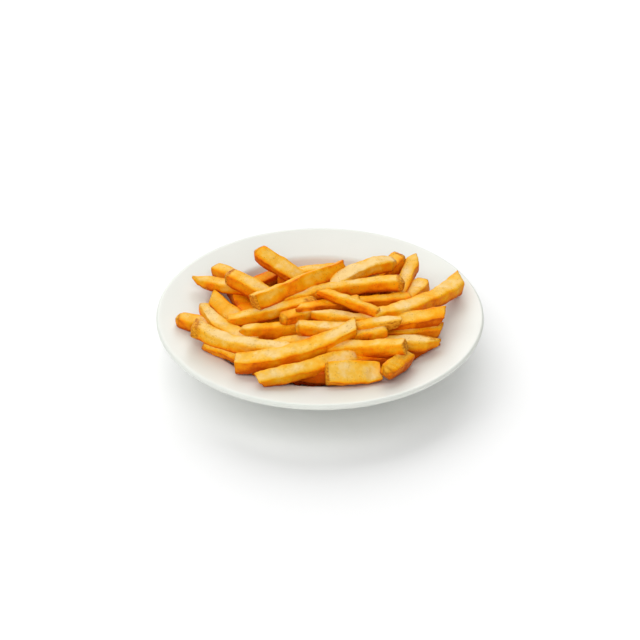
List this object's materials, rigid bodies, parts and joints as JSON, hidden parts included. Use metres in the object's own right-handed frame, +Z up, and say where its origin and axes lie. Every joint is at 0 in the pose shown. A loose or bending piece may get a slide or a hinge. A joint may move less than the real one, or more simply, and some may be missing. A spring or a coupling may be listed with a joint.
{
  "type": "french fries portion on a plate",
  "caption": "Heap of thick-cut french fries in a deep round white plate with a wide rim, served as one portion and resting on the plate's foot ring.",
  "frame": {"origin": "centre of the plate's foot ring, on the surface that the plate stands on", "axes": "+Z up out of the plate, -Y towards the front of the portion, +X to its right"},
  "size_m": [0.24, 0.24, 0.0641],
  "materials": {
    "white_glaze": "glossy glaze",
    "fried_potato": null
  },
  "bodies": {
    "root": {"plate": "white_glaze", "fries_heap": "fried_potato"}
  },
  "joints": []
}
